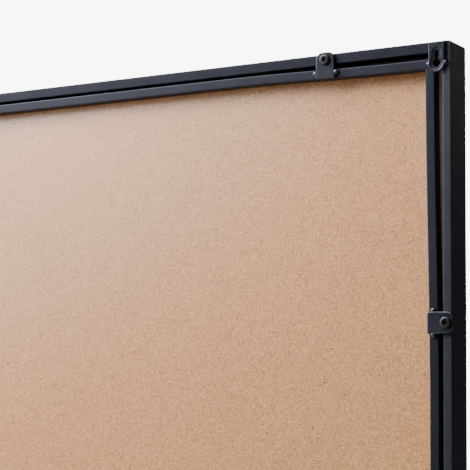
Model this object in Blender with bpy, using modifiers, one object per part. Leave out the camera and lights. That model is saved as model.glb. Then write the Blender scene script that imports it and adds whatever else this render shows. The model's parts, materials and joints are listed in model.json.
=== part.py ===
"""Cork notice board in a two-part black metal frame, hung on keyhole hangers.

The origin is the centre of the wall plane that the back of the board rests on.
+X runs along the width, +Z is up, and the cork faces -Y. Left and right are
those of a person who faces the cork. All lengths are in metres.
"""

import math

import bmesh
import bpy
from mathutils import Matrix, Vector

# The board
WIDTH = 0.900
HEIGHT = 0.600
GAP = 0.0003  # air left between pieces that touch

# Outer rails: a hollow box section with a front lip
LONG_RAIL_WIDTH = 0.0076  # top and bottom
SHORT_RAIL_WIDTH = 0.0064  # left and right
OUTER_DEPTH = 0.0258
OUTER_WALL = 0.0010
LIP_REACH = 0.0160  # from the outer face to the lip's free edge
LIP_THICKNESS = 0.0016
OUTER_EDGE = 0.0008  # corner radius
LIP_EDGE = 0.0006

# Inner rails: thin tubes that press the panels forward, sprung outwards between the corners
INNER_WIDTH = 0.0069
INNER_WALL = 0.0009
INNER_EDGE = 0.0008
INNER_LONG_INSET = 0.0122  # from the board's edge to a long tube, at a corner
INNER_SHORT_INSET = 0.0126  # the same for a short tube
LONG_BOW = 0.0024  # how much further out a long tube lies away from the corners
LONG_BOW_START = 0.035  # distances from the corner between which the bow grows
LONG_BOW_END = 0.175
SHORT_BOW = 0.0030
SHORT_BOW_START = 0.020
SHORT_BOW_END = 0.260
BOW_STATIONS = 6

# Panels, from the front to the back
CORK_THICKNESS = 0.0030
CORE_THICKNESS = 0.0085
BACKING_THICKNESS = 0.0030
PANEL_SLACK = 0.0010  # room between a panel's edge and the outer rail

# Retaining clips
PLATE_THICKNESS = 0.0018
PLATE_EDGE = 0.0008  # rounding of a plate's edges
LONG_PIVOT_INSET = 0.0044  # from the board's edge to a long rail's clip screws
SHORT_PIVOT_INSET = 0.0037
CLIP_OUTER = 0.0056  # from the screw to the clip's rounded end
CLIP_TOE = 0.0139  # from the screw to the clip's straight end
CLIP_TOE_WIDTH = 0.0158
CLIP_END_WIDTH = 0.0146
CLIP_END_RADIUS = 0.0050
CLIP_TOE_RADIUS = 0.0012
EAR_REACH = 0.0027  # how far an ear stands out of the plate's side
EAR_HALF_WIDTH = 0.0022
EAR_OFFSET = 0.0103  # from the screw to the ears
EAR_TIP = 0.6  # an ear's width at its tip, as a share of its width at the plate
EAR_TIP_RADIUS = 0.5  # its tip's corner radius, as a share of its half width
EAR_TAPER = 0.45  # share of its thickness that an ear loses at its tip
CLIP_CORNER_DISTANCE = 0.098  # clips on the long rails, from the corners
CLIP_SIDE_DISTANCE = 0.197  # clips on the short rails, from the corners

# Clip screws
SCREW_HEAD_RADIUS = 0.0038
SCREW_HEAD_HEIGHT = 0.0016
SCREW_RIM_HEIGHT = 0.0006  # straight part of the head's side
SCREW_FLAT_RADIUS = 0.0025  # flat top of the head
SCREW_SHANK_RADIUS = 0.0015
SCREW_REACH = 0.0090  # from under the head to the tip
SCREW_TIP = 0.0006  # length of the tip's chamfer
SCREW_TIP_RADIUS = 0.0010
SOCKET_RADIUS = 0.0016
SOCKET_DEPTH = 0.0013
SCREW_STEPS = 18

# Keyhole hangers
HANGER_INSET = 0.0101  # from the board's side edge to the hanger's centreline
HANGER_WIDTH = 0.0124
HANGER_DROP = 0.0159  # from the board's top edge to the keyhole's centre
HANGER_TOP_INSET = 0.0006  # from the board's top edge to the hanger's top
HANGER_LOBE_RADIUS = 0.0064
HANGER_LOBE_START = 24  # degrees below the ears at which the lobe starts
HANGER_TOP_RADIUS = 0.0008
HANGER_EAR_REACH = 0.0018
HANGER_EAR_HALF_WIDTH = 0.0019
KEYHOLE_RADIUS = 0.00295
KEYHOLE_SLOT_HALF_WIDTH = 0.0016
KEYHOLE_SLOT_LENGTH = 0.0096  # from the keyhole's centre to the slot's top
RECESS_OFFSET = 0.0017  # pressed recess round the keyhole, for the wall screw's head
RECESS_DEPTH = 0.0007

# Corner keys
OUTER_KEY_LEG = 0.0420
OUTER_KEY_DEPTH = 0.0120
INNER_KEY_LEG = 0.0240
INNER_KEY_DEPTH = 0.0066
KEY_CHAMFER = 0.0005

LARGE_RADIUS = 0.0030  # an outline's corners from this radius up get more steps
LARGE_ARC_STEPS = 5
SMALL_ARC_STEPS = 2
DOME_STEPS = 4
HOLE_STEPS = 20
KEYHOLE_STEPS = 14
SLOT_STEPS = 6
LOBE_STEPS = 12
SHARP_ANGLE = 35  # edges with a larger turn stay sharp, in degrees
WELD = 0.00001

BLACK_PAINT = (0.022, 0.023, 0.026)
BLACK_ZINC = (0.045, 0.045, 0.048)
KEY_ALUMINIUM = (0.55, 0.56, 0.57)
CORK_BROWN = (0.56, 0.36, 0.20)
FIBRE_BROWN = (0.52, 0.41, 0.29)
HARDBOARD_TAN = (0.62, 0.42, 0.29)

# Depths, measured backwards from the wall plane at Y = 0
FRAME_BACK = -(GAP + PLATE_THICKNESS + GAP + SCREW_HEAD_HEIGHT)
CORK_FRONT = FRAME_BACK - OUTER_DEPTH + LIP_THICKNESS + GAP
CORK_BACK = CORK_FRONT + CORK_THICKNESS
CORE_FRONT = CORK_BACK + GAP
CORE_BACK = CORE_FRONT + CORE_THICKNESS
BACKING_FRONT = CORE_BACK + GAP
BACKING_BACK = BACKING_FRONT + BACKING_THICKNESS
INNER_DEPTH = FRAME_BACK - BACKING_BACK - GAP
PLATE_MIDDLE = FRAME_BACK + GAP + PLATE_THICKNESS / 2

# Each side of the frame: its turn about Y from the top side, half its length, and its edge's distance
SIDES = {
    "top": (0.0, WIDTH / 2, HEIGHT / 2),
    "right": (math.pi / 2, HEIGHT / 2, WIDTH / 2),
    "bottom": (math.pi, WIDTH / 2, HEIGHT / 2),
    "left": (-math.pi / 2, HEIGHT / 2, WIDTH / 2),
}
# Each side's outer rail width, and its clips' distance from the edge
LONG_RAIL = (LONG_RAIL_WIDTH, LONG_PIVOT_INSET)
SHORT_RAIL = (SHORT_RAIL_WIDTH, SHORT_PIVOT_INSET)
RAILS = {"top": LONG_RAIL, "right": SHORT_RAIL, "bottom": LONG_RAIL, "left": SHORT_RAIL}
# Each inner tube: its inset at the corners, the inset of its ends, its bow, and the bow's start and end
LONG_TUBE = (INNER_LONG_INSET, INNER_SHORT_INSET, LONG_BOW, LONG_BOW_START, LONG_BOW_END)
SHORT_TUBE = (INNER_SHORT_INSET, INNER_LONG_INSET, SHORT_BOW, SHORT_BOW_START, SHORT_BOW_END)
TUBES = {"top": LONG_TUBE, "right": SHORT_TUBE, "bottom": LONG_TUBE, "left": SHORT_TUBE}

LONG_REACH = WIDTH / 2 - CLIP_CORNER_DISTANCE
SHORT_REACH = HEIGHT / 2 - CLIP_SIDE_DISTANCE
# Each clip: its side of the frame and its place along that side's own X
CLIPS = {
    "top_left": ("top", -LONG_REACH),
    "top_middle": ("top", 0.0),
    "top_right": ("top", LONG_REACH),
    "right_upper": ("right", -SHORT_REACH),
    "right_lower": ("right", SHORT_REACH),
    "bottom_right": ("bottom", -LONG_REACH),
    "bottom_middle": ("bottom", 0.0),
    "bottom_left": ("bottom", LONG_REACH),
    "left_lower": ("left", -SHORT_REACH),
    "left_upper": ("left", SHORT_REACH),
}
CORNERS = {
    "top_left": (-1, 1),
    "top_right": (1, 1),
    "bottom_left": (-1, -1),
    "bottom_right": (1, -1),
}


def start_empty():
    """Remove the scene's objects and make the two collections."""
    for old in list(bpy.data.objects):
        bpy.data.objects.remove(old, do_unlink=True)
    made = []
    for name in ("cork_bulletin_board", "cutters"):
        collection = bpy.data.collections.new(name)
        bpy.context.scene.collection.children.link(collection)
        made.append(collection)
    return made


PARTS, CUTTERS = start_empty()


def material(name, colour, roughness, metallic=0.0):
    """Return a Principled material."""
    made = bpy.data.materials.new(name)
    made.use_nodes = True
    shader = made.node_tree.nodes["Principled BSDF"]
    shader.inputs["Base Color"].default_value = (*colour, 1.0)
    shader.inputs["Roughness"].default_value = roughness
    shader.inputs["Metallic"].default_value = metallic
    return made


def add_part(name, mesh, finish, matrix=None):
    """Place a mesh as one named part."""
    part = bpy.data.objects.new(name, mesh)
    if not mesh.materials:
        mesh.materials.append(finish)
    if matrix is not None:
        part.matrix_world = matrix
    PARTS.objects.link(part)
    return part


def add_cutter(name, mesh, matrix=None):
    """Place a mesh as a Boolean's cutter."""
    cutter = bpy.data.objects.new(name, mesh)
    if matrix is not None:
        cutter.matrix_world = matrix
    cutter.hide_render = True
    cutter.display_type = "WIRE"
    CUTTERS.objects.link(cutter)
    return cutter


def add_boolean(part, cutter, operation):
    """Cut or join a part with a cutter."""
    modifier = part.modifiers.new(cutter.name, "BOOLEAN")
    modifier.operation = operation
    modifier.solver = "EXACT"
    modifier.object = cutter


def shade_round(mesh):
    """Shade a mesh smooth, with its sharp edges kept."""
    mesh.shade_smooth()
    mesh.set_sharp_from_angle(angle=math.radians(SHARP_ANGLE))


def baked_mesh(part, *used):
    """Return a part's evaluated mesh, and remove the part and the cutters that it used."""
    bpy.context.view_layer.update()
    graph = bpy.context.evaluated_depsgraph_get()
    mesh = bpy.data.meshes.new_from_object(part.evaluated_get(graph))
    for done in (part, *used):
        bpy.data.objects.remove(done, do_unlink=True)
    return mesh


def arc(centre, radius, start, end, steps):
    """Return the points of an arc, its ends included."""
    turn = (end - start) / steps
    angles = [start + turn * step for step in range(steps + 1)]
    return [(centre[0] + radius * math.cos(a), centre[1] + radius * math.sin(a)) for a in angles]


def rounded(corners):
    """Return an outline through (x, y, radius) corners, each turned into an arc of its radius."""
    outline = []
    for index, (x, y, radius) in enumerate(corners):
        here = Vector((x, y))
        if radius == 0.0:
            outline.append((x, y))
            continue
        before = (Vector(corners[index - 1][:2]) - here).normalized()
        after = (Vector(corners[(index + 1) % len(corners)][:2]) - here).normalized()
        half_angle = before.angle(after) / 2
        centre = here + (before + after).normalized() * (radius / math.sin(half_angle))
        tangent = radius / math.tan(half_angle)
        start = here + before * tangent - centre
        sweep = start.angle_signed(here + after * tangent - centre)
        steps = LARGE_ARC_STEPS if radius >= LARGE_RADIUS else SMALL_ARC_STEPS
        for step in range(steps + 1):
            turned = start.copy()
            turned.rotate(Matrix.Rotation(-sweep * step / steps, 2))
            outline.append(tuple(centre + turned))
    return outline


def circle(radius, centre=(0.0, 0.0)):
    """Return a round outline."""
    return arc(centre, radius, 0.0, 2 * math.pi, HOLE_STEPS)[:-1]


def extruded(name, outlines, thickness, edge=0.0):
    """Return the mesh of flat outlines in XY, centred on Z, with rounded edges where edge is given."""
    curve = bpy.data.curves.new(name, "CURVE")
    curve.dimensions = "2D"
    curve.fill_mode = "BOTH"
    curve.extrude = thickness / 2 - edge
    curve.bevel_depth = edge
    curve.bevel_resolution = 1
    curve.offset = -edge
    for outline in outlines:
        spline = curve.splines.new("POLY")
        spline.points.add(len(outline) - 1)
        for point, (x, y) in zip(spline.points, outline):
            point.co = (x, y, 0.0, 1.0)
        spline.use_cyclic_u = True
    guide = bpy.data.objects.new(name, curve)
    CUTTERS.objects.link(guide)
    mesh = baked_mesh(guide)
    bpy.data.curves.remove(curve)
    body = bmesh.new()
    body.from_mesh(mesh)
    bmesh.ops.remove_doubles(body, verts=body.verts, dist=WELD)
    bmesh.ops.recalc_face_normals(body, faces=body.faces)
    body.to_mesh(mesh)
    body.free()
    mesh.name = name
    return mesh


def smooth_step(value):
    """Return 0 to 1 with an S-shaped rise."""
    value = min(max(value, 0.0), 1.0)
    return value * value * (3.0 - 2.0 * value)


def side_matrix(side):
    """Return the turn that takes the top side's frame to another side's."""
    return Matrix.Rotation(SIDES[side][0], 4, "Y")


def laid_along_x(mesh):
    """Turn a section, x inwards and y in depth, so that its length runs along X and Z points outwards."""
    mesh.transform(Matrix(((0, 0, 1, 0), (0, 1, 0, 0), (-1, 0, 0, 0), (0, 0, 0, 1))))


def mitred(mesh, half_length, start_inset):
    """Slope a rail's ends at 45 degrees; its outer face is at Z = 0."""
    for vertex in mesh.vertices:
        inset = start_inset - vertex.co.z
        vertex.co.x *= (half_length - inset - GAP / 2 * math.sqrt(2.0)) / half_length


def outer_rail_mesh(side):
    """Return an outer rail: a box section with a lip round the cork's front edge."""
    half_length = SIDES[side][1]
    width = RAILS[side][0]
    back_of_lip = -OUTER_DEPTH + LIP_THICKNESS
    outline = rounded([
        (0.0, 0.0, OUTER_EDGE),
        (0.0, -OUTER_DEPTH, OUTER_EDGE),
        (LIP_REACH, -OUTER_DEPTH, LIP_EDGE),
        (LIP_REACH, back_of_lip, LIP_EDGE),
        (width, back_of_lip, 0.0),
        (width, 0.0, OUTER_EDGE),
    ])
    hollow = [
        (OUTER_WALL, -OUTER_WALL),
        (OUTER_WALL, back_of_lip),
        (width - OUTER_WALL, back_of_lip),
        (width - OUTER_WALL, -OUTER_WALL),
    ]
    mesh = extruded("outer_rail_" + side, (outline, hollow), 2 * half_length)
    laid_along_x(mesh)
    mitred(mesh, half_length, 0.0)
    return mesh


def inner_rail_mesh(side):
    """Return an inner rail: a thin tube with its middle sprung outwards."""
    half_length = SIDES[side][1]
    inset, end_inset, bow, bow_start, bow_end = TUBES[side]
    outline = rounded([
        (0.0, 0.0, INNER_EDGE),
        (0.0, -INNER_DEPTH, INNER_EDGE),
        (INNER_WIDTH, -INNER_DEPTH, INNER_EDGE),
        (INNER_WIDTH, 0.0, INNER_EDGE),
    ])
    hollow = [
        (INNER_WALL, -INNER_WALL),
        (INNER_WALL, -INNER_DEPTH + INNER_WALL),
        (INNER_WIDTH - INNER_WALL, -INNER_DEPTH + INNER_WALL),
        (INNER_WIDTH - INNER_WALL, -INNER_WALL),
    ]
    mesh = extruded("inner_rail_" + side, (outline, hollow), 2 * half_length)
    laid_along_x(mesh)
    body = bmesh.new()
    body.from_mesh(mesh)
    for step in range(BOW_STATIONS + 1):
        from_corner = bow_start + (bow_end - bow_start) * step / BOW_STATIONS
        for along in (from_corner - half_length, half_length - from_corner):
            everything = body.verts[:] + body.edges[:] + body.faces[:]
            bmesh.ops.bisect_plane(body, geom=everything, plane_co=(along, 0, 0), plane_no=(1, 0, 0))
    body.to_mesh(mesh)
    body.free()
    mitred(mesh, half_length, end_inset)
    for vertex in mesh.vertices:
        along = (half_length - abs(vertex.co.x) - bow_start) / (bow_end - bow_start)
        vertex.co.z -= inset - bow * smooth_step(along)
    return mesh


def add_rails(paint):
    """Add the four outer and the four inner rails."""
    outer = {}
    for side, (_, _, edge) in SIDES.items():
        matrix = side_matrix(side) @ Matrix.Translation((0.0, FRAME_BACK, edge))
        for kind, mesh in (("outer", outer_rail_mesh(side)), ("inner", inner_rail_mesh(side))):
            shade_round(mesh)
            rail = add_part(f"{kind}_rail_{side}", mesh, paint, matrix)
            if kind == "outer":
                outer[side] = rail
    return outer


def add_panel(name, front, thickness, finish):
    """Add one sheet that fills the opening between the outer rails."""
    side_border = 2 * (SHORT_RAIL_WIDTH + PANEL_SLACK)
    end_border = 2 * (LONG_RAIL_WIDTH + PANEL_SLACK)
    body = bmesh.new()
    bmesh.ops.create_cube(body, size=1.0)
    mesh = bpy.data.meshes.new(name)
    body.to_mesh(mesh)
    body.free()
    size = Matrix.Diagonal((WIDTH - side_border, thickness, HEIGHT - end_border, 1.0))
    mesh.transform(Matrix.Translation((0.0, front + thickness / 2, 0.0)) @ size)
    return add_part(name, mesh, finish)


def corner_key_mesh(name, thickness, leg, depth):
    """Return an L-shaped key with its outer corner at the origin and its legs along +X and +Z."""
    outline = [
        (0.0, 0.0),
        (leg, 0.0),
        (leg, thickness),
        (thickness, thickness),
        (thickness, leg),
        (0.0, leg),
    ]
    mesh = extruded(name, (outline,), depth, KEY_CHAMFER)
    mesh.transform(Matrix.Rotation(math.pi / 2, 4, "X"))
    return mesh


def add_corner_keys(metal):
    """Add the keys that join the rails inside their mitred corners."""
    outer_clear = OUTER_WALL + GAP
    inner_clear = INNER_WALL + GAP
    kinds = {
        "outer": (outer_clear, outer_clear, SHORT_RAIL_WIDTH - 2 * outer_clear,
                  OUTER_KEY_LEG, OUTER_KEY_DEPTH, FRAME_BACK - OUTER_DEPTH / 2),
        "inner": (INNER_SHORT_INSET + inner_clear, INNER_LONG_INSET + inner_clear,
                  INNER_WIDTH - 2 * inner_clear, INNER_KEY_LEG, INNER_KEY_DEPTH,
                  FRAME_BACK - INNER_DEPTH / 2),
    }
    turns = {"bottom_left": 0, "top_left": 1, "top_right": 2, "bottom_right": 3}
    for kind, (side_inset, top_inset, thickness, leg, depth, middle) in kinds.items():
        mesh = corner_key_mesh(kind + "_corner_key", thickness, leg, depth)
        for corner, (across, up) in CORNERS.items():
            x = across * (WIDTH / 2 - side_inset)
            z = up * (HEIGHT / 2 - top_inset)
            turn = Matrix.Rotation(turns[corner] * math.pi / 2, 4, "Y")
            matrix = Matrix.Translation((x, middle, z)) @ turn
            add_part(f"{kind}_corner_key_{corner}", mesh, metal, matrix)


def ear_points(side, offset, half_width, reach, plate_half_width):
    """Return an ear's outline on one side of a plate, base to tip to base."""
    base = plate_half_width - PLATE_EDGE
    tip = plate_half_width + reach
    radius = half_width * EAR_TIP_RADIUS
    points = [(base, -half_width, 0.0), (tip, -half_width * EAR_TIP, radius)]
    points += [(tip, half_width * EAR_TIP, radius), (base, half_width, 0.0)]
    return [(side * x, offset + side * y, radius) for x, y, radius in points]


def thin_ears(mesh, plate_half_width, reach, offset, half_width):
    """Taper the ears down towards the frame, on a plate that lies in XZ."""
    for vertex in mesh.vertices:
        beyond = (abs(vertex.co.x) - plate_half_width) / reach
        if beyond > 0.0 and abs(vertex.co.z - offset) <= half_width:
            above = vertex.co.y + PLATE_THICKNESS / 2
            vertex.co.y -= above * EAR_TAPER * smooth_step(beyond)


def clip_mesh():
    """Return a clip in XZ: the screw hole at the origin, the toe towards -Z, the back towards +Y."""
    half_end = CLIP_END_WIDTH / 2
    half_toe = CLIP_TOE_WIDTH / 2
    right_ear = ear_points(1, -EAR_OFFSET, EAR_HALF_WIDTH, EAR_REACH, half_toe)
    left_ear = ear_points(-1, -EAR_OFFSET, EAR_HALF_WIDTH, EAR_REACH, half_toe)
    outline = rounded([
        (half_toe, -CLIP_TOE, CLIP_TOE_RADIUS),
        *right_ear,
        (half_end, CLIP_OUTER, CLIP_END_RADIUS),
        (-half_end, CLIP_OUTER, CLIP_END_RADIUS),
        *left_ear,
        (-half_toe, -CLIP_TOE, CLIP_TOE_RADIUS),
    ])
    hole = circle(SCREW_SHANK_RADIUS + GAP)
    mesh = extruded("retaining_clip", (outline, hole), PLATE_THICKNESS, PLATE_EDGE)
    mesh.transform(Matrix.Rotation(math.pi / 2, 4, "X"))
    thin_ears(mesh, half_toe, EAR_REACH, -EAR_OFFSET, EAR_HALF_WIDTH)
    shade_round(mesh)
    return mesh


def screw_mesh():
    """Return a button-head socket screw along Y: under its head at the origin, its head towards +Y."""
    dome = SCREW_HEAD_HEIGHT - SCREW_RIM_HEIGHT
    profile = [(0.0, SCREW_HEAD_HEIGHT)]
    for step in range(DOME_STEPS + 1):
        angle = math.pi / 2 * step / DOME_STEPS
        across = SCREW_FLAT_RADIUS + (SCREW_HEAD_RADIUS - SCREW_FLAT_RADIUS) * math.sin(angle)
        profile.append((across, SCREW_RIM_HEIGHT + dome * math.cos(angle)))
    profile += [
        (SCREW_HEAD_RADIUS, 0.0),
        (SCREW_SHANK_RADIUS, 0.0),
        (SCREW_SHANK_RADIUS, SCREW_TIP - SCREW_REACH),
        (SCREW_TIP_RADIUS, -SCREW_REACH),
        (0.0, -SCREW_REACH),
    ]
    mesh = bpy.data.meshes.new("clip_screw_profile")
    body = bmesh.new()
    points = [body.verts.new((x, 0.0, z)) for x, z in profile]
    for first, second in zip(points, points[1:]):
        body.edges.new((first, second))
    body.to_mesh(mesh)
    body.free()
    turned = bpy.data.objects.new("clip_screw_blank", mesh)
    CUTTERS.objects.link(turned)
    screw = turned.modifiers.new("turn", "SCREW")
    screw.steps = SCREW_STEPS
    screw.render_steps = SCREW_STEPS
    screw.use_merge_vertices = True
    screw.merge_threshold = WELD
    socket = bpy.data.meshes.new("socket")
    body = bmesh.new()
    bmesh.ops.create_cone(body, cap_ends=True, segments=6, radius1=SOCKET_RADIUS,
                          radius2=SOCKET_RADIUS, depth=2 * SOCKET_DEPTH)
    body.to_mesh(socket)
    body.free()
    cutter = add_cutter("socket", socket, Matrix.Translation((0.0, 0.0, SCREW_HEAD_HEIGHT)))
    add_boolean(turned, cutter, "DIFFERENCE")
    made = baked_mesh(turned, cutter)
    made.name = "clip_screw"
    made.transform(Matrix.Rotation(-math.pi / 2, 4, "X"))
    shade_round(made)
    return made


def add_clips(rails, paint, zinc):
    """Add the retaining clips, each on its own screw, and the screws' holes in the outer rails."""
    clip = clip_mesh()
    screw = screw_mesh()
    hole = bpy.data.meshes.new("screw_hole")
    body = bmesh.new()
    hole_radius = SCREW_SHANK_RADIUS + GAP
    bmesh.ops.create_cone(body, cap_ends=True, segments=HOLE_STEPS, radius1=hole_radius,
                          radius2=hole_radius, depth=4 * OUTER_WALL)
    body.to_mesh(hole)
    body.free()
    hole.transform(Matrix.Rotation(math.pi / 2, 4, "X"))
    for name, (side, along) in CLIPS.items():
        height = SIDES[side][2] - RAILS[side][1]
        turn = side_matrix(side)
        add_part("clip_" + name, clip, paint, turn @ Matrix.Translation((along, PLATE_MIDDLE, height)))
        under_head = PLATE_MIDDLE + PLATE_THICKNESS / 2 + GAP
        add_part("clip_screw_" + name, screw, zinc, turn @ Matrix.Translation((along, under_head, height)))
        place = turn @ Matrix.Translation((along, FRAME_BACK, height))
        add_boolean(rails[side], add_cutter("screw_hole_" + name, hole, place), "DIFFERENCE")


def keyhole_outline(offset):
    """Return a keyhole about the origin, its slot upwards, grown by an offset."""
    radius = KEYHOLE_RADIUS + offset
    half_slot = KEYHOLE_SLOT_HALF_WIDTH + offset
    meet = math.asin(half_slot / radius)
    slot_top = KEYHOLE_SLOT_LENGTH - KEYHOLE_SLOT_HALF_WIDTH
    hole = arc((0.0, 0.0), radius, math.pi / 2 + meet, 2.5 * math.pi - meet, KEYHOLE_STEPS)
    return hole + arc((0.0, slot_top), half_slot, 0.0, math.pi, SLOT_STEPS)


def hanger_mesh():
    """Return a hanger in XZ about its keyhole: a strap up to the top rail, and a round lobe below."""
    half_width = HANGER_WIDTH / 2
    top = HANGER_DROP - HANGER_TOP_INSET
    ears = (HANGER_EAR_HALF_WIDTH, HANGER_EAR_REACH, half_width)
    left_ear = ear_points(-1, 0.0, *ears)
    right_ear = ear_points(1, 0.0, *ears)
    strap = rounded([
        *right_ear,
        (half_width, top, HANGER_TOP_RADIUS),
        (-half_width, top, HANGER_TOP_RADIUS),
        *left_ear,
    ])
    lobe_start = math.radians(HANGER_LOBE_START)
    lobe = arc((0.0, 0.0), HANGER_LOBE_RADIUS, math.pi + lobe_start, 2 * math.pi - lobe_start, LOBE_STEPS)
    plate = extruded("keyhole_hanger", (strap + lobe, keyhole_outline(0.0)), PLATE_THICKNESS, PLATE_EDGE)
    recess = extruded("keyhole_recess", (keyhole_outline(RECESS_OFFSET),), 2 * RECESS_DEPTH)
    for mesh in (plate, recess):
        mesh.transform(Matrix.Rotation(math.pi / 2, 4, "X"))
    thin_ears(plate, half_width, HANGER_EAR_REACH, 0.0, HANGER_EAR_HALF_WIDTH)
    blank = bpy.data.objects.new("hanger_blank", plate)
    CUTTERS.objects.link(blank)
    cutter = add_cutter("recess_cutter", recess, Matrix.Translation((0.0, PLATE_THICKNESS / 2, 0.0)))
    add_boolean(blank, cutter, "DIFFERENCE")
    made = baked_mesh(blank, cutter)
    made.name = "keyhole_hanger"
    shade_round(made)
    return made


def add_hangers(paint):
    """Add a keyhole hanger over each upper corner."""
    mesh = hanger_mesh()
    for name, across in (("left", -1), ("right", 1)):
        place = (across * (WIDTH / 2 - HANGER_INSET), PLATE_MIDDLE, HEIGHT / 2 - HANGER_DROP)
        add_part("keyhole_hanger_" + name, mesh, paint, Matrix.Translation(place))


def build():
    """Build the whole board."""
    frame_paint = material("frame_black", BLACK_PAINT, 0.42, 0.3)
    plate_paint = material("hardware_black", BLACK_PAINT, 0.35, 0.4)
    zinc = material("screw_black", BLACK_ZINC, 0.35, 0.8)
    rails = add_rails(frame_paint)
    add_panel("cork_sheet", CORK_FRONT, CORK_THICKNESS, material("cork", CORK_BROWN, 0.9))
    add_panel("core_board", CORE_FRONT, CORE_THICKNESS, material("softboard", FIBRE_BROWN, 0.95))
    add_panel("backing_panel", BACKING_FRONT, BACKING_THICKNESS, material("hardboard", HARDBOARD_TAN, 0.75))
    add_corner_keys(material("key_aluminium", KEY_ALUMINIUM, 0.4, 1.0))
    add_clips(rails, plate_paint, zinc)
    add_hangers(plate_paint)


build()
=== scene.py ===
"""Looks of the cork notice board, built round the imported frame. All lengths are in metres."""
import json
import math

import bmesh
import bpy
from mathutils import Matrix, Vector


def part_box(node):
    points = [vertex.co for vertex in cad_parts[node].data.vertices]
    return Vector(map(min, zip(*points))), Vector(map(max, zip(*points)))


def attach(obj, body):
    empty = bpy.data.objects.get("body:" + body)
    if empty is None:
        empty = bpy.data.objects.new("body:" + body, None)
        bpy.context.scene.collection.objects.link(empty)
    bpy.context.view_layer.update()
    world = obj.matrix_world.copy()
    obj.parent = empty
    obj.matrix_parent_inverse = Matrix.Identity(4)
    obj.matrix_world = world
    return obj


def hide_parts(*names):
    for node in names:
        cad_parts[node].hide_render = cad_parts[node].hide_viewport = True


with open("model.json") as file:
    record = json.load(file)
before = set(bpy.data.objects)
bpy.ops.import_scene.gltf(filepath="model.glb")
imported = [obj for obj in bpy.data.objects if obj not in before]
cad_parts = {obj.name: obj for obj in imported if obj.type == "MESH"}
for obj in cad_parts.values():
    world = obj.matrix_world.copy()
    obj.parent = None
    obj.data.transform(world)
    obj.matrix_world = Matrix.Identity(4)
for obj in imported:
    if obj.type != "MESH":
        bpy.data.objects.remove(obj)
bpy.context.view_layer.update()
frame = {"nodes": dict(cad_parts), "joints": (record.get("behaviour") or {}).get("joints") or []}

BOARD = "board"

# Sections of the rails, as the CAD has them
LONG_RAIL_WIDTH = 0.0076  # top and bottom
SHORT_RAIL_WIDTH = 0.0064  # left and right
RAIL_EDGE = 0.0008
LIP_REACH = 0.0160
LIP_THICKNESS = 0.0016
LIP_EDGE = 0.0006
TUBE_WIDTH = 0.0069
TUBE_EDGE = 0.0008
# A tube's inset at the corners, inset of its ends, bow, and the bow's start and end
LONG_TUBE = (0.0122, 0.0126, 0.0024, 0.035, 0.175)
SHORT_TUBE = (0.0126, 0.0122, 0.0030, 0.020, 0.260)
SEAM = 0.00022  # half the gap at a mitre, along the rail
CORNER_ROUND = 0.0022  # rounding of the board's outer corners
EDGE_STEPS = 4
CORNER_STEPS = 5
TUBE_STATIONS = 40

# Clips and screws; a lug is a swelling at its plate's side, given as half its width, height and length
GAP = 0.0003
PLATE = 0.0018
PLATE_EDGE = 0.0008
CLIP_OUTER = 0.0056
CLIP_TOE = 0.0139
CLIP_TOE_HALF = 0.0079
CLIP_END_HALF = 0.0073
CLIP_END_RADIUS = 0.0050
CLIP_TOE_RADIUS = 0.0014
CLIP_CORNER_STEPS = 10
PLATE_EDGE_STEPS = 3
CLIP_LUG = (0.0021, 0.0012, 0.0019)
CLIP_LUG_OUT = 0.0004  # from the toe's side edge to the lug's centre
CLIP_LUG_DROP = 0.0096  # from the screw's axis
LUG_RISE = 0.0006  # from the plate's foot
LUG_SEGMENTS = 20
LUG_RINGS = 12
SCREW_RADIUS = 0.0038
SCREW_HEIGHT = 0.0016
SCREW_SIDE = 0.0006
SCREW_FLAT = 0.0027
SCREW_DOME_STEPS = 6
SCREW_SEGMENTS = 48
SCREW_SHARP = math.radians(30)
SOCKET_RADIUS = 0.00185
SOCKET_DEPTH = 0.0015
SHANK_RADIUS = 0.0015

# Keyhole hangers
HANGER_HALF = 0.0062
HANGER_DROP = 0.0153  # from the strap's top to the keyhole's centre
HANGER_LOBE = 0.0064
HANGER_LOBE_START = math.radians(12)  # below the level of the keyhole's centre
HANGER_LOBE_STEPS = 28
HANGER_CORNER = 0.0012
HANGER_CORNER_STEPS = 6
HANGER_RIM_EDGE = 0.0006
HANGER_FLOOR_EDGE = 0.0003
HANGER_LUG = (0.0018, 0.0012, 0.0019)
HANGER_LUG_OUT = 0.0001  # from the strap's side edge to the lug's centre
KEYHOLE_RADIUS = 0.00295
KEYHOLE_SLOT_HALF = 0.0016
KEYHOLE_SLOT_TOP = 0.0096
KEYHOLE_STEPS = 36
KEYHOLE_SLOT_STEPS = 16
RECESS_OFFSET = 0.0017
RECESS_DEPTH = 0.0007

# Border of the hardboard that the frame covers, darkened as painted shade, measured from the frame's outer
# faces
SHADED_BORDER = 0.0150
SHADED_BORDER_FADE = 0.0010

# Enamels: darkest and lightest paint, colour of worn edges, roughness, how worn the edges are, and
# the specular level of the paint
LONG_RAIL_PAINT = {
    "dark": (0.0046, 0.0049, 0.0098),
    "light": (0.0080, 0.0085, 0.0155),
    "worn": (0.125, 0.130, 0.165),
    "roughness": 0.46,
    "wear": 0.40,
    "shine": 0.115,
}
# Painted light: the short rails take the long rails' enamel made lighter and shinier, for their brighter
# lips
LIGHTER_SHORT_RAIL_PAINT = {
    "dark": (0.0090, 0.0094, 0.0150),
    "light": (0.0140, 0.0146, 0.0215),
    "worn": (0.140, 0.145, 0.180),
    "roughness": 0.46,
    "wear": 0.30,
    "shine": 0.275,
}
TUBE_PAINT = {
    "dark": (0.0050, 0.0053, 0.0102),
    "light": (0.0088, 0.0092, 0.0160),
    "worn": (0.125, 0.130, 0.165),
    "roughness": 0.46,
    "wear": 0.25,
    "shine": 0.165,
}
PLATE_PAINT = {
    "dark": (0.0054, 0.0060, 0.0110),
    "light": (0.0098, 0.0105, 0.0175),
    "worn": (0.110, 0.115, 0.138),
    "roughness": 0.42,
    "wear": 0.70,
    "shine": 0.175,
}
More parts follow.
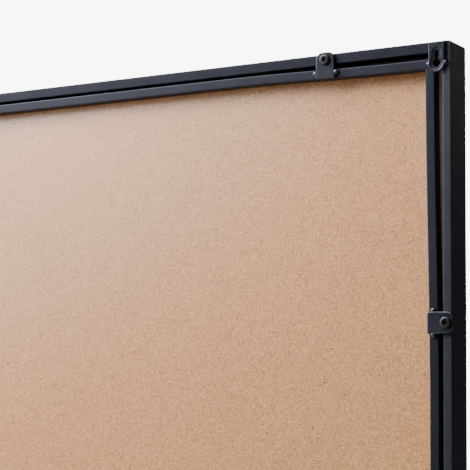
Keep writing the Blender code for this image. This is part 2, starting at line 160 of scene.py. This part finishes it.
ENAMEL_TINT = (0.75, 0.79, 1.0, 1.0)  # a cool sheen

CORK_GRANULES = 430.0  # per metre

# Studio
WHITE = (1.0, 1.0, 1.0)
FILL_STRENGTH = 0.05
BACKDROP_STRENGTH = 8.5
BACKDROP = (1.0, 1.0, 0.985, 1.0)
FLOOR_HALF = 1.7
FLOOR_GAP = 0.004  # below the board
FLOOR_DARK = (0.33, 0.33, 0.325)
FLOOR_LIGHT = (0.36, 0.36, 0.355)
# Soft lights: name, position, point aimed at, width, height, power, colour
SOFTBOXES = (
    ("window", (0.99, 0.67, 1.25), (-0.2, 0.0, 0.20), 1.16, 1.19, 95.0, (1.0, 0.99, 0.98)),
    ("low_window", (1.75, 1.35, 0.75), (-0.1, 0.0, 0.25), 1.3, 0.9, 24.0, (0.90, 0.96, 1.0)),
    ("overhead", (-0.05, 0.45, 0.95), (-0.15, 0.0, 0.15), 1.0, 0.5, 11.0, (1.0, 0.99, 0.96)),
    ("front_fill", (1.4, -2.4, 1.4), (0.0, 0.0, 0.0), 1.6, 1.6, 120.0, WHITE),
    ("side_glow", (-1.1, -2.3, 1.5), (0.0, 0.0, 0.0), 1.6, 1.6, 4.0, (1.0, 0.96, 0.90)),
)
CAMERA_AT = (-0.92694, 1.07295, 0.0210)
CAMERA_FORWARD = (0.5132, -0.8499, 0.1192)
CAMERA_UP = (-0.0517, 0.1080, 0.9928)
CAMERA_LENS = 131.47
CAMERA_SENSOR = 36.0
CAMERA_FAR = 60.0

RAIL_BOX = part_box("outer_rail_top")
HALF_WIDTH = 0.450
HALF_HEIGHT = RAIL_BOX[1].z
REAR = RAIL_BOX[1].y
RAIL_DEPTH = RAIL_BOX[1].y - RAIL_BOX[0].y
TUBE_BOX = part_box("inner_rail_top")
TUBE_DEPTH = TUBE_BOX[1].y - TUBE_BOX[0].y
PLATE_FOOT = REAR + GAP
SIDES = {
    "top": (0.0, HALF_WIDTH, HALF_HEIGHT, LONG_RAIL_WIDTH, LONG_TUBE),
    "right": (math.pi / 2, HALF_HEIGHT, HALF_WIDTH, SHORT_RAIL_WIDTH, SHORT_TUBE),
    "bottom": (math.pi, HALF_WIDTH, HALF_HEIGHT, LONG_RAIL_WIDTH, LONG_TUBE),
    "left": (-math.pi / 2, HALF_HEIGHT, HALF_WIDTH, SHORT_RAIL_WIDTH, SHORT_TUBE),
}


# ---------------------------------------------------------------- materials

def new_material(name):
    """Return a material, its node tree and its Principled shader."""
    made = bpy.data.materials.new(name)
    made.use_nodes = True
    tree = made.node_tree
    return made, tree, tree.nodes["Principled BSDF"]


def add_node(tree, kind, inputs=None, **settings):
    """Add a node with some of its inputs set or linked."""
    made = tree.nodes.new(kind)
    for key, value in settings.items():
        setattr(made, key, value)
    for key, value in (inputs or {}).items():
        if isinstance(value, bpy.types.NodeSocket):
            tree.links.new(value, made.inputs[key])
        else:
            made.inputs[key].default_value = value
    return made


def place(tree, stretch=(1.0, 1.0, 1.0)):
    """Return the object's own coordinates in metres, stretched."""
    coordinates = add_node(tree, "ShaderNodeTexCoord").outputs["Object"]
    return add_node(tree, "ShaderNodeMapping", {"Vector": coordinates, "Scale": stretch}).outputs[0]


def noise(tree, vector, scale, detail=3.0, roughness=0.55, distortion=0.0):
    """Return a noise value; scale is in cells per metre."""
    inputs = {"Vector": vector, "Scale": scale, "Detail": detail, "Roughness": roughness,
              "Distortion": distortion}
    return add_node(tree, "ShaderNodeTexNoise", inputs).outputs["Fac"]


def spread(tree, value, low, high, to_low=0.0, to_high=1.0):
    """Return a value stretched from one range to another, and held inside it."""
    inputs = {"Value": value, "From Min": low, "From Max": high, "To Min": to_low, "To Max": to_high}
    return add_node(tree, "ShaderNodeMapRange", inputs).outputs["Result"]


def maths(tree, operation, first, second):
    """Return first and second joined by an operation."""
    return add_node(tree, "ShaderNodeMath", {0: first, 1: second}, operation=operation).outputs[0]


def blend_colour(tree, factor, first, second):
    """Return a mix of two colours."""
    made = add_node(tree, "ShaderNodeMix", data_type="RGBA")
    for key, value in (("Factor", factor), ("A", first), ("B", second)):
        socket = made.inputs[key]
        if isinstance(value, bpy.types.NodeSocket):
            tree.links.new(value, socket)
        elif isinstance(value, tuple):
            socket.default_value = (*value, 1.0)
        else:
            socket.default_value = value
    return made.outputs["Result"]


def add_bump(tree, shader, height, strength, distance):
    """Give a shader a bump."""
    bump = add_node(tree, "ShaderNodeBump", {"Height": height, "Strength": strength, "Distance": distance})
    tree.links.new(bump.outputs["Normal"], shader.inputs["Normal"])


def enamel(name, dark, light, worn, roughness, wear, shine):
    """Satin enamel with an orange-peel grain, fine dust and edges worn to the metal."""
    made, tree, shader = new_material(name)
    at = place(tree)
    cloud = spread(tree, noise(tree, at, 35.0, 4.0), 0.35, 0.68)
    body = blend_colour(tree, cloud, dark, light)
    # Dust in the paint's grain
    grit = spread(tree, noise(tree, at, 1300.0, 3.0, 0.6), 0.50, 0.72)
    body = blend_colour(tree, maths(tree, "MULTIPLY", grit, 0.08), body, worn)
    # Patches of the rounded edges are rubbed down to the metal
    edge = add_node(tree, "ShaderNodeAttribute", attribute_name="edge").outputs["Fac"]
    rub = spread(tree, noise(tree, at, 260.0, 3.0, 0.6), 0.25, 0.55, 0.35, 1.0)
    rubbed = maths(tree, "MULTIPLY", maths(tree, "MULTIPLY", edge, rub), wear)
    tree.links.new(blend_colour(tree, rubbed, body, worn), shader.inputs["Base Color"])
    # Hand marks, and a polish along the edges
    smear = spread(tree, noise(tree, at, 90.0, 5.0, 0.65), 0.3, 0.7, roughness - 0.05, roughness + 0.07)
    polish = maths(tree, "MULTIPLY", edge, 0.5 * wear)
    gloss = maths(tree, "MULTIPLY", smear, maths(tree, "SUBTRACT", 1.0, polish))
    tree.links.new(gloss, shader.inputs["Roughness"])
    tree.links.new(spread(tree, rubbed, 0.0, 0.6), shader.inputs["Metallic"])
    shader.inputs["Specular IOR Level"].default_value = shine
    shader.inputs["Specular Tint"].default_value = ENAMEL_TINT
    # Orange peel
    add_bump(tree, shader, noise(tree, at, 1500.0, 2.0), 0.30, 0.00005)
    return made


def shaded_sheet_borders(tree, at):
    """Return two masks for the painted shade: 1 on the sheet's covered side and end borders, and 0 inside
    them.
    """
    parts = add_node(tree, "ShaderNodeSeparateXYZ", {"Vector": at})
    across = maths(tree, "ABSOLUTE", parts.outputs["X"], 0.0)
    up = maths(tree, "ABSOLUTE", parts.outputs["Z"], 0.0)
    side_shade = spread(tree, across, HALF_WIDTH - SHADED_BORDER - SHADED_BORDER_FADE, HALF_WIDTH - SHADED_BORDER)
    end_shade = spread(tree, up, HALF_HEIGHT - SHADED_BORDER - SHADED_BORDER_FADE, HALF_HEIGHT - SHADED_BORDER)
    return side_shade, end_shade


def hardboard():
    """Pressed wood fibre: a tan sheet with short fibres, pale and dark flecks and soft clouds."""
    made, tree, shader = new_material("pressed_fibre")
    at = place(tree)
    # Soft clouds and a finer mottle
    cloud = spread(tree, noise(tree, at, 6.0, 3.0), 0.35, 0.65)
    base = blend_colour(tree, cloud, (0.565, 0.246, 0.074), (0.610, 0.278, 0.092))
    mottle = spread(tree, noise(tree, at, 150.0, 4.0, 0.6), 0.30, 0.70)
    base = blend_colour(tree, maths(tree, "MULTIPLY", mottle, 0.25), base, (0.68, 0.36, 0.139))
    # Short fibres that lie both ways
    along = noise(tree, place(tree, (1.0, 1.0, 0.35)), 1150.0, 3.0, 0.7, 0.4)
    across = noise(tree, place(tree, (0.35, 1.0, 1.0)), 1150.0, 3.0, 0.7, 0.4)
    fibre = spread(tree, maths(tree, "ADD", along, across), 0.88, 1.12)
    base = blend_colour(tree, maths(tree, "MULTIPLY", fibre, 0.76), base, (0.32, 0.130, 0.046))
    # Pale and dark flecks
    pale = spread(tree, noise(tree, at, 760.0, 2.0, 0.6, 0.6), 0.60, 0.72)
    base = blend_colour(tree, maths(tree, "MULTIPLY", pale, 0.56), base, (0.86, 0.545, 0.275))
    fleck = spread(tree, noise(tree, at, 800.0, 2.0, 0.5, 0.6), 0.64, 0.69)
    base = blend_colour(tree, maths(tree, "MULTIPLY", fleck, 0.92), base, (0.10, 0.040, 0.016))
    # The border that the inner frame covers is painted shade: greyed and darker with a mottle at the sides,
    # near black at the top and bottom
    side_shade, end_shade = shaded_sheet_borders(tree, at)
    shade_mottle = spread(tree, noise(tree, at, 220.0, 3.0, 0.6), 0.3, 0.7, 0.75, 1.0)
    # Painted shade on the side borders, mottled
    base = blend_colour(tree, maths(tree, "MULTIPLY", side_shade, shade_mottle), base, (0.34, 0.25, 0.22))
    # Painted shadow: the top and bottom borders are painted near black
    base = blend_colour(tree, maths(tree, "MULTIPLY", end_shade, 0.95), base, (0.018, 0.016, 0.016))
    tree.links.new(base, shader.inputs["Base Color"])
    polish = spread(tree, mottle, 0.0, 1.0, 0.32, 0.40)
    # The painted shade's border is also made rougher
    shade_border = maths(tree, "MULTIPLY", maths(tree, "MAXIMUM", side_shade, end_shade), 0.9)
    tree.links.new(maths(tree, "MAXIMUM", polish, shade_border), shader.inputs["Roughness"])
    shader.inputs["Specular IOR Level"].default_value = 1.0
    add_bump(tree, shader, fibre, 0.30, 0.00012)
    return made


def cork():
    """Agglomerated cork: pressed granules of mixed browns with dark bark crumbs between them."""
    made, tree, shader = new_material("pressed_cork")
    at = place(tree)
    # Granules, each of its own brown
    cells = add_node(tree, "ShaderNodeTexVoronoi", {"Vector": at, "Scale": CORK_GRANULES})
    tone = add_node(tree, "ShaderNodeSeparateColor", {"Color": cells.outputs["Color"]})
    grain = blend_colour(tree, tone.outputs[0], (0.38, 0.185, 0.070), (0.66, 0.39, 0.175))
    fine = spread(tree, noise(tree, at, 1500.0, 4.0, 0.7), 0.32, 0.68)
    grain = blend_colour(tree, maths(tree, "MULTIPLY", fine, 0.35), grain, (0.30, 0.15, 0.065))
    # A few granules are dark bark
    rare = spread(tree, tone.outputs[1], 0.90, 0.95)
    grain = blend_colour(tree, maths(tree, "MULTIPLY", rare, 0.75), grain, (0.10, 0.05, 0.025))
    # Darker joints between the granules
    walls = add_node(tree, "ShaderNodeTexVoronoi", {"Vector": at, "Scale": CORK_GRANULES},
                     feature="DISTANCE_TO_EDGE").outputs["Distance"]
    joint = spread(tree, walls, 0.0, 0.09, 1.0, 0.0)
    grain = blend_colour(tree, maths(tree, "MULTIPLY", joint, 0.45), grain, (0.17, 0.085, 0.04))
    cloud = spread(tree, noise(tree, at, 9.0, 3.0), 0.35, 0.65)
    grain = blend_colour(tree, maths(tree, "MULTIPLY", cloud, 0.18), grain, (0.70, 0.43, 0.21))
    tree.links.new(grain, shader.inputs["Base Color"])
    tree.links.new(spread(tree, fine, 0.0, 1.0, 0.78, 0.92), shader.inputs["Roughness"])
    height = maths(tree, "SUBTRACT", walls, maths(tree, "MULTIPLY", fine, 0.4))
    add_bump(tree, shader, height, 0.5, 0.0004)
    return made


def softboard():
    """Loose grey-brown wood fibre."""
    made, tree, shader = new_material("loose_fibre")
    strand = spread(tree, noise(tree, place(tree, (1.0, 5.0, 1.0)), 600.0, 5.0, 0.75, 1.2), 0.3, 0.7)
    base = blend_colour(tree, strand, (0.30, 0.22, 0.14), (0.55, 0.45, 0.32))
    tree.links.new(base, shader.inputs["Base Color"])
    tree.links.new(spread(tree, strand, 0.0, 1.0, 0.85, 0.97), shader.inputs["Roughness"])
    add_bump(tree, shader, strand, 0.6, 0.0004)
    return made


def cast_metal():
    """Bare die-cast aluminium, dull and faintly pitted."""
    made, tree, shader = new_material("cast_aluminium")
    at = place(tree)
    skin = spread(tree, noise(tree, at, 300.0, 4.0, 0.6), 0.3, 0.7)
    base = blend_colour(tree, skin, (0.42, 0.43, 0.45), (0.62, 0.63, 0.64))
    tree.links.new(base, shader.inputs["Base Color"])
    shader.inputs["Metallic"].default_value = 1.0
    tree.links.new(spread(tree, skin, 0.0, 1.0, 0.5, 0.36), shader.inputs["Roughness"])
    add_bump(tree, shader, noise(tree, at, 1800.0, 3.0), 0.3, 0.0001)
    return made


def black_zinc():
    """Blackened zinc with rubbed, brighter edges."""
    made, tree, shader = new_material("black_zinc")
    at = place(tree)
    patch = spread(tree, noise(tree, at, 700.0, 4.0, 0.6), 0.3, 0.7)
    body = blend_colour(tree, patch, (0.007, 0.007, 0.008), (0.015, 0.015, 0.017))
    edge = add_node(tree, "ShaderNodeAttribute", attribute_name="edge").outputs["Fac"]
    rubbed = maths(tree, "MULTIPLY", edge, spread(tree, patch, 0.0, 1.0, 0.35, 0.9))
    tree.links.new(blend_colour(tree, rubbed, body, (0.074, 0.073, 0.077)), shader.inputs["Base Color"])
    shader.inputs["Metallic"].default_value = 0.6
    tree.links.new(spread(tree, patch, 0.0, 1.0, 0.32, 0.46), shader.inputs["Roughness"])
    add_bump(tree, shader, noise(tree, at, 2500.0, 2.0), 0.25, 0.00005)
    return made


# ---------------------------------------------------------------- shapes

def arc(centre, radius, start, end, steps):
    """Return the points of an arc, its ends included."""
    turn = (end - start) / steps
    angles = [start + turn * step for step in range(steps + 1)]
    return [(centre[0] + radius * math.cos(a), centre[1] + radius * math.sin(a)) for a in angles]


def rounded(corners, steps):
    """Return (x, y, edge) points through (x, y, radius) corners; edge is 1 in the middle of a rounding."""
    outline = []
    for index, (x, y, radius) in enumerate(corners):
        here = Vector((x, y))
        if radius == 0.0:
            outline.append((x, y, 0.0))
            continue
        before = (Vector(corners[index - 1][:2]) - here).normalized()
        after = (Vector(corners[(index + 1) % len(corners)][:2]) - here).normalized()
        half_angle = before.angle(after) / 2
        centre = here + (before + after).normalized() * (radius / math.sin(half_angle))
        tangent = radius / math.tan(half_angle)
        start = here + before * tangent - centre
        sweep = start.angle_signed(here + after * tangent - centre)
        for step in range(steps + 1):
            turned = start.copy()
            turned.rotate(Matrix.Rotation(-sweep * step / steps, 2))
            outline.append((*(centre + turned), math.sin(math.pi * step / steps)))
    return outline


def smooth_step(value):
    """Return 0 to 1 with an S-shaped rise."""
    value = min(max(value, 0.0), 1.0)
    return value * value * (3.0 - 2.0 * value)


def finished(name, mesh, finish, body, node, matrix):
    """Make a piece of a mesh in place of a CAD node, weight its normals, and tie it to a body."""
    piece = bpy.data.objects.new(name, mesh)
    bpy.context.scene.collection.objects.link(piece)
    if not mesh.materials:
        mesh.materials.append(finish)
    piece.matrix_world = matrix
    even = piece.modifiers.new("even_normals", "WEIGHTED_NORMAL")
    even.keep_sharp = True
    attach(piece, body)
    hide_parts(node)


def rail_mesh(name, outline, half_length, end_inset, stations, inset_of, round_corner=0.0):
    """Sweep a section of (inset, depth, edge) points along X, mitred at both ends; Z points outwards."""
    mesh = bpy.data.meshes.new(name)
    body = bmesh.new()
    edge = body.verts.layers.float.new("edge")
    rings = []
    for station in stations:
        ring = []
        for inset, depth, worn in outline:
            x = station * (half_length - end_inset - inset - SEAM) / half_length
            height = -inset - inset_of(half_length - abs(x))
            if round_corner:
                past = abs(x) - (half_length - round_corner)
                if past > 0.0:
                    height = min(height, math.sqrt(max(round_corner ** 2 - past ** 2, 0.0)) - round_corner)
            vertex = body.verts.new((x, depth, height))
            vertex[edge] = worn
            ring.append(vertex)
        rings.append(ring)
    count = len(outline)
    for first, second in zip(rings, rings[1:]):
        for index in range(count):
            after = (index + 1) % count
            body.faces.new((first[index], first[after], second[after], second[index]))
    for ring in (rings[0], list(reversed(rings[-1]))):
        cap = body.faces.new(ring)
        for side in cap.edges:
            side.smooth = False
    bmesh.ops.recalc_face_normals(body, faces=body.faces)
    for face in body.faces:
        face.smooth = True
    body.to_mesh(mesh)
    body.free()
    return mesh


def add_rails(long_paint, lighter_short_paint, tube_paint):
    """Add the outer rails and the inner tubes in place of the CAD's."""
    back_of_lip = -RAIL_DEPTH + LIP_THICKNESS
    tube = rounded([
        (0.0, 0.0, TUBE_EDGE),
        (0.0, -TUBE_DEPTH, TUBE_EDGE),
        (TUBE_WIDTH, -TUBE_DEPTH, TUBE_EDGE),
        (TUBE_WIDTH, 0.0, TUBE_EDGE),
    ], EDGE_STEPS)
    for side, (turn, half_length, edge, width, (inset, end_inset, bow, bow_start, bow_end)) in SIDES.items():
        rail = rounded([
            (0.0, 0.0, RAIL_EDGE),
            (0.0, -RAIL_DEPTH, RAIL_EDGE),
            (LIP_REACH, -RAIL_DEPTH, LIP_EDGE),
            (LIP_REACH, back_of_lip, LIP_EDGE),
            (width, back_of_lip, 0.0),
            (width, 0.0, RAIL_EDGE),
        ], EDGE_STEPS)
        matrix = Matrix.Rotation(turn, 4, "Y") @ Matrix.Translation((0.0, REAR, edge))
        past = [CORNER_ROUND * (1.0 - step / CORNER_STEPS) for step in range(CORNER_STEPS + 1)]
        corner = [half_length - x for x in past]
        stations = [-x for x in reversed(corner)] + corner
        mesh = rail_mesh("outer_" + side, rail, half_length, 0.0, stations, lambda x: 0.0, CORNER_ROUND)
        paint = long_paint if edge == HALF_HEIGHT else lighter_short_paint
        finished("rail_" + side, mesh, paint, BOARD, "outer_rail_" + side, matrix)
        stations = [half_length * (2.0 * step / TUBE_STATIONS - 1.0) for step in range(TUBE_STATIONS + 1)]

        def inset_of(from_corner, inset=inset, bow=bow, start=bow_start, end=bow_end):
            """Return the tube's inset at a distance from the corner."""
            return inset - bow * smooth_step((from_corner - start) / (end - start))

        mesh = rail_mesh("inner_" + side, tube, half_length, end_inset, stations, inset_of)
        finished("tube_" + side, mesh, tube_paint, BOARD, "inner_rail_" + side, matrix)


def flat_mesh(name, outlines, thickness, edge):
    """Return a plate of flat outlines, lying in XZ with its foot at Y = 0 and rounded edges."""
    curve = bpy.data.curves.new(name, "CURVE")
    curve.dimensions = "2D"
    curve.fill_mode = "BOTH"
    curve.extrude = thickness / 2 - edge
    curve.bevel_depth = edge
    curve.bevel_resolution = PLATE_EDGE_STEPS
    curve.offset = -edge
    for outline in outlines:
        spline = curve.splines.new("POLY")
        spline.points.add(len(outline) - 1)
        for point, (x, y) in zip(spline.points, outline):
            point.co = (x, y, 0.0, 1.0)
        spline.use_cyclic_u = True
    guide = bpy.data.objects.new(name, curve)
    bpy.context.scene.collection.objects.link(guide)
    graph = bpy.context.evaluated_depsgraph_get()
    mesh = bpy.data.meshes.new_from_object(guide.evaluated_get(graph))
    bpy.data.objects.remove(guide, do_unlink=True)
    bpy.data.curves.remove(curve)
    mesh.name = name
    body = bmesh.new()
    body.from_mesh(mesh)
    bmesh.ops.remove_doubles(body, verts=body.verts, dist=0.00001)
    bmesh.ops.recalc_face_normals(body, faces=body.faces)
    layer = body.verts.layers.float.new("edge")
    for vertex in body.verts:
        down = (thickness / 2 - abs(vertex.co.z)) / edge
        vertex[layer] = 1.0 if 0.02 < down < 0.98 else 0.0
    for face in body.faces:
        face.smooth = True
    body.to_mesh(mesh)
    body.free()
    mesh.transform(Matrix.Translation((0.0, thickness / 2, 0.0)) @ Matrix.Rotation(math.pi / 2, 4, "X"))
    return mesh


def add_lug(mesh, centre, size):
    """Add a smooth swelling of the plate, with its centre and half sizes."""
    body = bmesh.new()
    body.from_mesh(mesh)
    before = set(body.verts)
    shape = Matrix.Translation(centre) @ Matrix.Diagonal((*size, 1.0))
    bmesh.ops.create_uvsphere(body, u_segments=LUG_SEGMENTS, v_segments=LUG_RINGS, radius=1.0,
                              matrix=shape)
    layer = body.verts.layers.float["edge"]
    for vertex in body.verts:
        if vertex not in before:
            vertex[layer] = 1.0
    for face in body.faces:
        face.smooth = True
    body.to_mesh(mesh)
    body.free()


def clip_mesh():
    """Return a clip: the screw's axis at the origin, the toe towards -Z, its foot at Y = 0."""
    outline = rounded([
        (CLIP_TOE_HALF, -CLIP_TOE, CLIP_TOE_RADIUS),
        (CLIP_END_HALF, CLIP_OUTER, CLIP_END_RADIUS),
        (-CLIP_END_HALF, CLIP_OUTER, CLIP_END_RADIUS),
        (-CLIP_TOE_HALF, -CLIP_TOE, CLIP_TOE_RADIUS),
    ], CLIP_CORNER_STEPS)
    mesh = flat_mesh("clip_plate", ([(x, y) for x, y, _ in outline],), PLATE, PLATE_EDGE)
    for side in (-1, 1):
        add_lug(mesh, (side * (CLIP_TOE_HALF + CLIP_LUG_OUT), LUG_RISE, -CLIP_LUG_DROP), CLIP_LUG)
    return mesh


def screw_mesh():
    """Return a button head with a hexagon socket, its underside at Y = 0, on a short shank."""
    profile = [(0.0, SCREW_HEIGHT, 0.0), (SCREW_FLAT, SCREW_HEIGHT, 0.0)]
    dome = SCREW_HEIGHT - SCREW_SIDE
    for step in range(1, SCREW_DOME_STEPS + 1):
        angle = math.pi / 2 * step / SCREW_DOME_STEPS
        across = SCREW_FLAT + (SCREW_RADIUS - SCREW_FLAT) * math.sin(angle)
        worn = 1.0 if step < SCREW_DOME_STEPS - 1 else 0.3
        profile.append((across, SCREW_SIDE + dome * math.cos(angle), worn))
    profile += [
        (SCREW_RADIUS, 0.0, 0.0),
        (SHANK_RADIUS, 0.0, 0.0),
        (SHANK_RADIUS, -PLATE, 0.0),
        (0.0, -PLATE, 0.0),
    ]
    mesh = bpy.data.meshes.new("screw")
    body = bmesh.new()
    layer = body.verts.layers.float.new("edge")
    points = []
    for across, up, worn in profile:
        vertex = body.verts.new((across, 0.0, up))
        vertex[layer] = worn
        points.append(vertex)
    lines = [body.edges.new(pair) for pair in zip(points, points[1:])]
    bmesh.ops.spin(body, geom=points + lines, cent=(0, 0, 0), axis=(0, 0, 1), angle=2 * math.pi,
                   steps=SCREW_SEGMENTS)
    bmesh.ops.remove_doubles(body, verts=body.verts, dist=0.000001)
    bmesh.ops.recalc_face_normals(body, faces=body.faces)
    body.to_mesh(mesh)
    body.free()
    cutter_mesh = bpy.data.meshes.new("socket")
    body = bmesh.new()
    bmesh.ops.create_cone(body, cap_ends=True, segments=6, radius1=SOCKET_RADIUS, radius2=SOCKET_RADIUS,
                          depth=2 * SOCKET_DEPTH, matrix=Matrix.Translation((0.0, 0.0, SCREW_HEIGHT)))
    body.to_mesh(cutter_mesh)
    body.free()
    pair = [bpy.data.objects.new(data.name, data) for data in (mesh, cutter_mesh)]
    for part in pair:
        bpy.context.scene.collection.objects.link(part)
    cut = pair[0].modifiers.new("socket", "BOOLEAN")
    cut.operation = "DIFFERENCE"
    cut.object = pair[1]
    graph = bpy.context.evaluated_depsgraph_get()
    made = bpy.data.meshes.new_from_object(pair[0].evaluated_get(graph))
    for part in pair:
        bpy.data.objects.remove(part, do_unlink=True)
    made.transform(Matrix.Rotation(-math.pi / 2, 4, "X"))
    made.shade_smooth()
    made.set_sharp_from_angle(angle=SCREW_SHARP)
    return made


def add_clips(paint, zinc):
    """Add each clip on its own body, and its screw on the board."""
    clip = clip_mesh()
    screw = screw_mesh()
    for joint in frame["joints"]:
        name = joint["child"]
        pivot = Vector(joint["pos_m"])
        side = name.split("_")[1]
        turn = Matrix.Rotation(SIDES[side][0], 4, "Y")
        matrix = Matrix.Translation((pivot.x, PLATE_FOOT, pivot.z)) @ turn
        finished("plate_" + name, clip, paint, name, name, matrix)
        matrix = Matrix.Translation((pivot.x, PLATE_FOOT + PLATE + GAP, pivot.z)) @ turn
        node = name.replace("clip_", "clip_screw_")
        finished("button_" + node, screw, zinc, BOARD, node, matrix)


def keyhole(offset):
    """Return a keyhole about the origin, its slot upwards, grown by an offset."""
    radius = KEYHOLE_RADIUS + offset
    half_slot = KEYHOLE_SLOT_HALF + offset
    meet = math.asin(half_slot / radius)
    hole = arc((0.0, 0.0), radius, math.pi / 2 + meet, 2.5 * math.pi - meet, KEYHOLE_STEPS)
    return hole + arc((0.0, KEYHOLE_SLOT_TOP - KEYHOLE_SLOT_HALF), half_slot, 0.0, math.pi,
                      KEYHOLE_SLOT_STEPS)


def hanger_mesh():
    """Return a hanger about its keyhole: a strap to the board's top edge, a round lobe, a pressed recess."""
    start = math.pi + HANGER_LOBE_START
    end = 2 * math.pi - HANGER_LOBE_START
    lobe = arc((0.0, 0.0), HANGER_LOBE, start, end, HANGER_LOBE_STEPS)
    top = rounded([
        (HANGER_HALF, 0.0, 0.0),
        (HANGER_HALF, HANGER_DROP, HANGER_CORNER),
        (-HANGER_HALF, HANGER_DROP, HANGER_CORNER),
        (-HANGER_HALF, 0.0, 0.0),
    ], HANGER_CORNER_STEPS)
    outer = [(x, y) for x, y, _ in top] + lobe
    rim = flat_mesh("hanger", (outer, keyhole(RECESS_OFFSET)), PLATE, HANGER_RIM_EDGE)
    floor = flat_mesh("hanger_floor", (outer, keyhole(0.0)), PLATE - RECESS_DEPTH, HANGER_FLOOR_EDGE)
    body = bmesh.new()
    body.from_mesh(rim)
    body.from_mesh(floor)
    body.to_mesh(rim)
    body.free()
    for side in (-1, 1):
        add_lug(rim, (side * (HANGER_HALF + HANGER_LUG_OUT), LUG_RISE, 0.0), HANGER_LUG)
    return rim


def add_hangers(paint):
    """Add both keyhole hangers."""
    mesh = hanger_mesh()
    for side in ("left", "right"):
        node = "keyhole_hanger_" + side
        low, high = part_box(node)
        matrix = Matrix.Translation(((low.x + high.x) / 2, PLATE_FOOT, high.z - HANGER_DROP))
        finished("hanger_" + side, mesh, paint, BOARD, node, matrix)


def dress(node, finish):
    """Give a CAD node its material."""
    part = frame["nodes"][node]
    part.data.materials.clear()
    part.data.materials.append(finish)


# ---------------------------------------------------------------- studio

def add_camera():
    """Stand behind the board at about its mid height and look up at its corner."""
    data = bpy.data.cameras.new("camera")
    data.sensor_width = CAMERA_SENSOR
    data.lens = CAMERA_LENS
    data.clip_end = CAMERA_FAR
    camera = bpy.data.objects.new("camera", data)
    bpy.context.scene.collection.objects.link(camera)
    forward = Vector(CAMERA_FORWARD).normalized()
    right = forward.cross(Vector(CAMERA_UP)).normalized()
    up = right.cross(forward)
    turn = Matrix((right, up, -forward)).transposed().to_4x4()
    camera.matrix_world = Matrix.Translation(CAMERA_AT) @ turn
    bpy.context.scene.camera = camera


def add_softbox(name, stand, aim, width, height, power, colour):
    """Add one soft light aimed at a point."""
    data = bpy.data.lights.new(name, "AREA")
    data.shape = "RECTANGLE"
    data.size = width
    data.size_y = height
    data.energy = power
    data.color = colour
    light = bpy.data.objects.new(name, data)
    light.location = stand
    light.rotation_euler = (Vector(aim) - Vector(stand)).to_track_quat("-Z", "Y").to_euler()
    bpy.context.scene.collection.objects.link(light)


def add_studio():
    """Add the pale floor, the pale surroundings and the soft lights."""
    world = bpy.data.worlds.new("studio")
    bpy.context.scene.world = world
    world.use_nodes = True
    tree = world.node_tree
    fill = tree.nodes["Background"]
    fill.inputs["Color"].default_value = (*WHITE, 1.0)
    fill.inputs["Strength"].default_value = FILL_STRENGTH
    seen = add_node(tree, "ShaderNodeBackground", {"Color": BACKDROP, "Strength": BACKDROP_STRENGTH})
    ray = add_node(tree, "ShaderNodeLightPath")
    either = add_node(tree, "ShaderNodeMixShader", {0: ray.outputs["Is Camera Ray"]})
    tree.links.new(fill.outputs[0], either.inputs[1])
    tree.links.new(seen.outputs[0], either.inputs[2])
    tree.links.new(either.outputs[0], tree.nodes["World Output"].inputs["Surface"])
    made, tree, shader = new_material("pale_floor")
    grain = spread(tree, noise(tree, place(tree), 30.0, 4.0), 0.3, 0.7)
    tree.links.new(blend_colour(tree, grain, FLOOR_DARK, FLOOR_LIGHT), shader.inputs["Base Color"])
    shader.inputs["Roughness"].default_value = 0.8
    body = bmesh.new()
    bmesh.ops.create_grid(body, x_segments=1, y_segments=1, size=FLOOR_HALF)
    mesh = bpy.data.meshes.new("floor")
    body.to_mesh(mesh)
    body.free()
    mesh.materials.append(made)
    floor = bpy.data.objects.new("floor", mesh)
    floor.location = (0.0, 0.0, -HALF_HEIGHT - FLOOR_GAP)
    bpy.context.scene.collection.objects.link(floor)
    for softbox in SOFTBOXES:
        add_softbox(*softbox)


add_camera()
add_studio()
LONG_RAILS = enamel("satin_black", **LONG_RAIL_PAINT)
# The short rails' enamel is a lighter copy of the same paint: painted light
LIGHTER_SHORT_RAILS = enamel("side_black_painted_light", **LIGHTER_SHORT_RAIL_PAINT)
add_rails(LONG_RAILS, LIGHTER_SHORT_RAILS, enamel("tube_black", **TUBE_PAINT))
PLATES = enamel("plate_black", **PLATE_PAINT)
add_clips(PLATES, black_zinc())
add_hangers(PLATES)
dress("backing_panel", hardboard())
dress("cork_sheet", cork())
dress("core_board", softboard())
METAL = cast_metal()
for key in sorted(name for name in frame["nodes"] if "corner_key" in name):
    dress(key, METAL)
